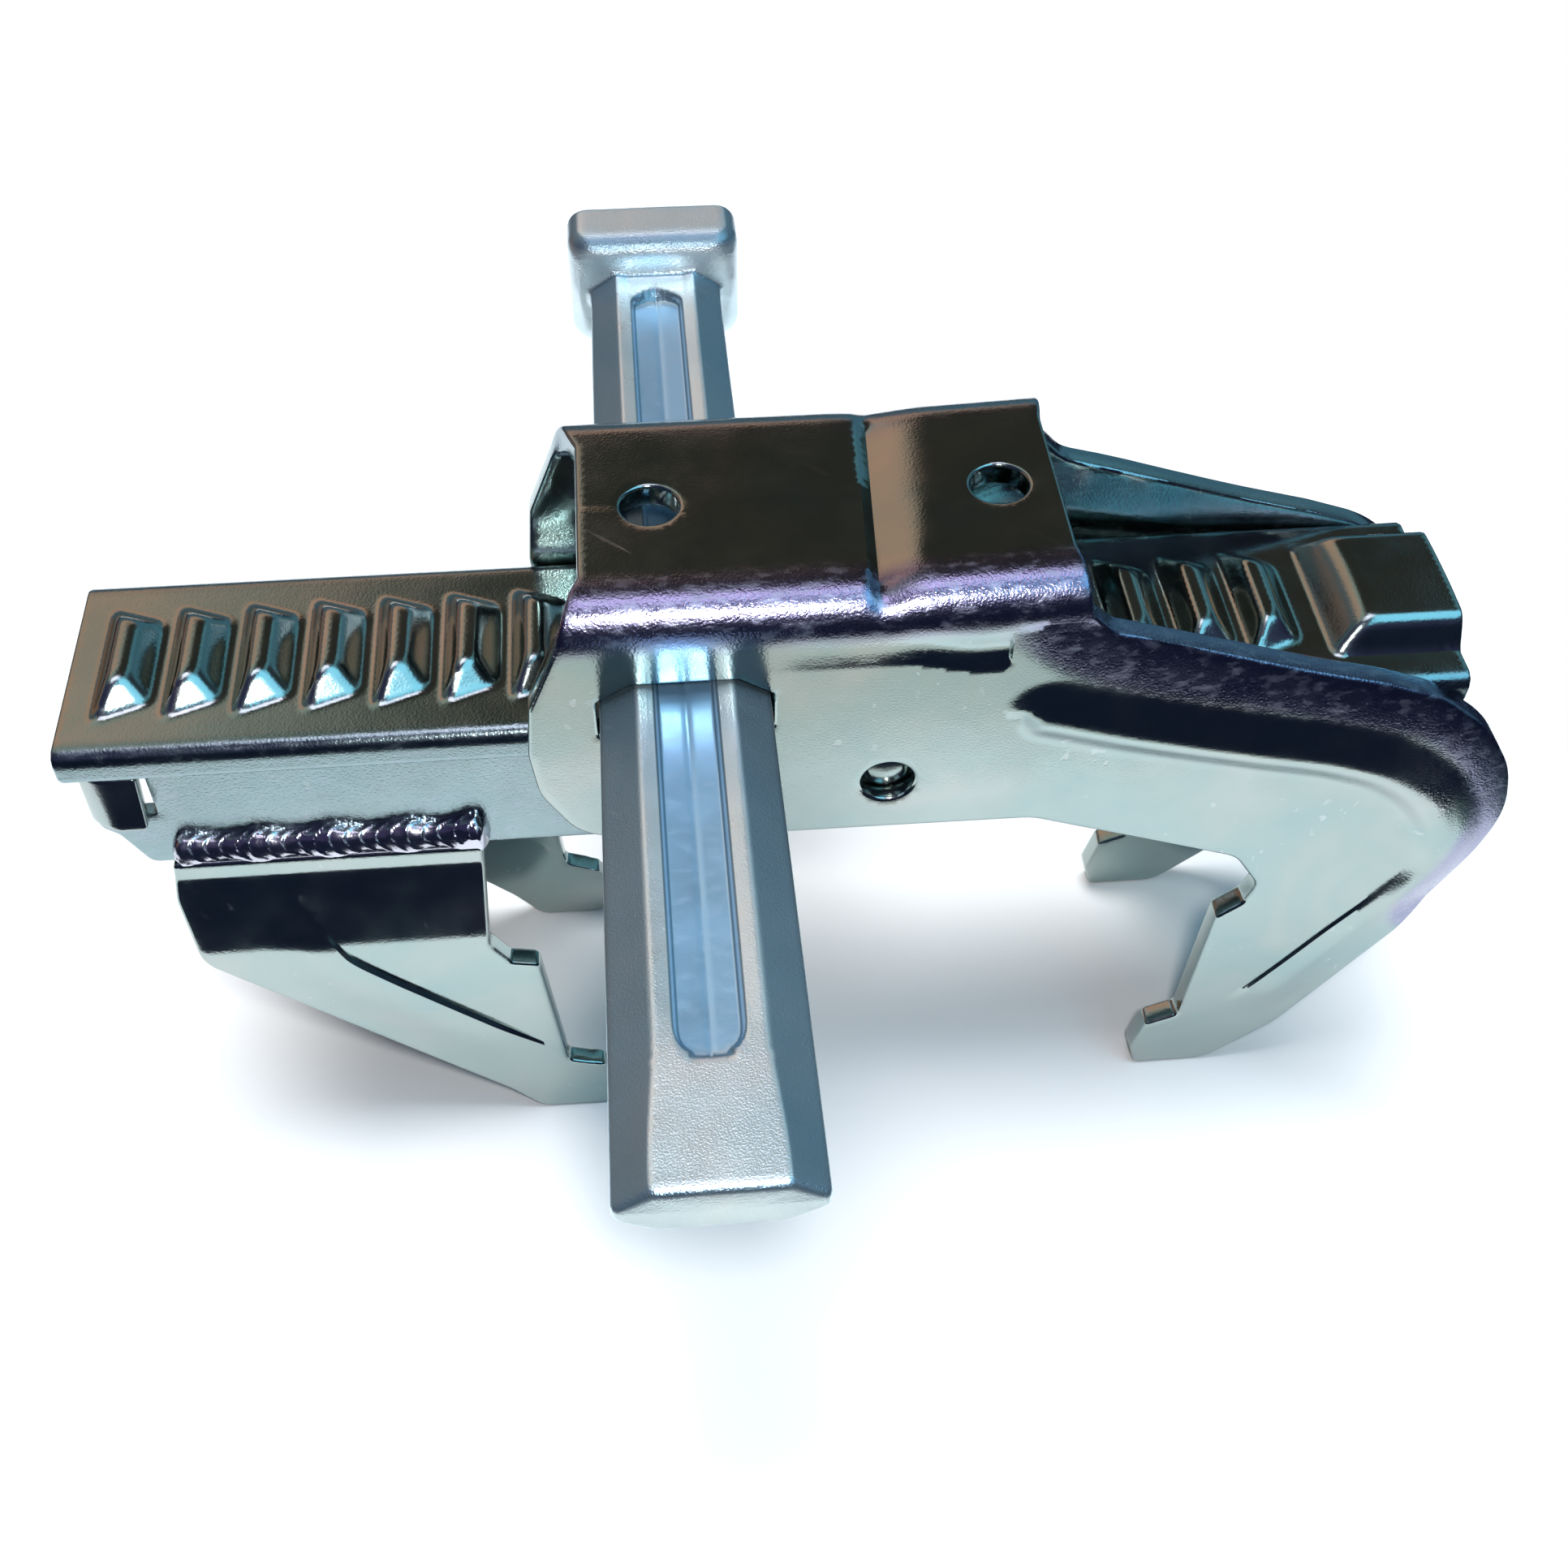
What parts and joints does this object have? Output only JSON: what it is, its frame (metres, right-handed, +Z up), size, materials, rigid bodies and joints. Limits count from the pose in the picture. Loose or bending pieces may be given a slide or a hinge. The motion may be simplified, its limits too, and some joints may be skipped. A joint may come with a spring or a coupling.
{
  "type": "formwork alignment coupler",
  "caption": "Steel wedge clamp for panel frames: toothed rail with fixed hooked jaws, sliding U-shaped body with hooked claws, and a captive cross wedge that locks it.",
  "frame": {"origin": "middle of the footprint, on the level that the four claw tips stand on", "axes": "+X along the rail from the fixed jaws to the sliding claws, +Y towards the wedge's head, +Z up"},
  "size_m": [0.3392, 0.2926, 0.1855],
  "materials": {
    "rail_plating": "bright zinc plating, smooth",
    "jaw_plating": "bright zinc plating, smooth",
    "weld_metal": "plated weld bead, rippled",
    "slider_plating": "bright zinc plating, smooth, scuffed",
    "stud_plating": "bright zinc plating",
    "forged_plating": "blue zinc plating over a forged skin"
  },
  "bodies": {
    "rail": {"rail_cap": "rail_plating", "rail_channel": "rail_plating", "fixed_jaw_front": "jaw_plating", "fixed_jaw_rear": "jaw_plating", "jaw_weld_front": "weld_metal", "jaw_weld_rear": "weld_metal"},
    "slider": {"slider_body": "slider_plating", "keeper_stud_front": "stud_plating", "keeper_stud_rear": "stud_plating"},
    "wedge": {"wedge": "forged_plating"}
  },
  "joints": [
    {"name": "slider_slide", "type": "slide", "parent": "rail", "child": "slider", "axis": [1, 0, 0], "range_m": [-0.0875, 0.1404]},
    {"name": "wedge_drive", "type": "slide", "parent": "slider", "child": "wedge", "axis": [0, 1, 0], "range_m": [-0.0828, 0.041]}
  ]
}
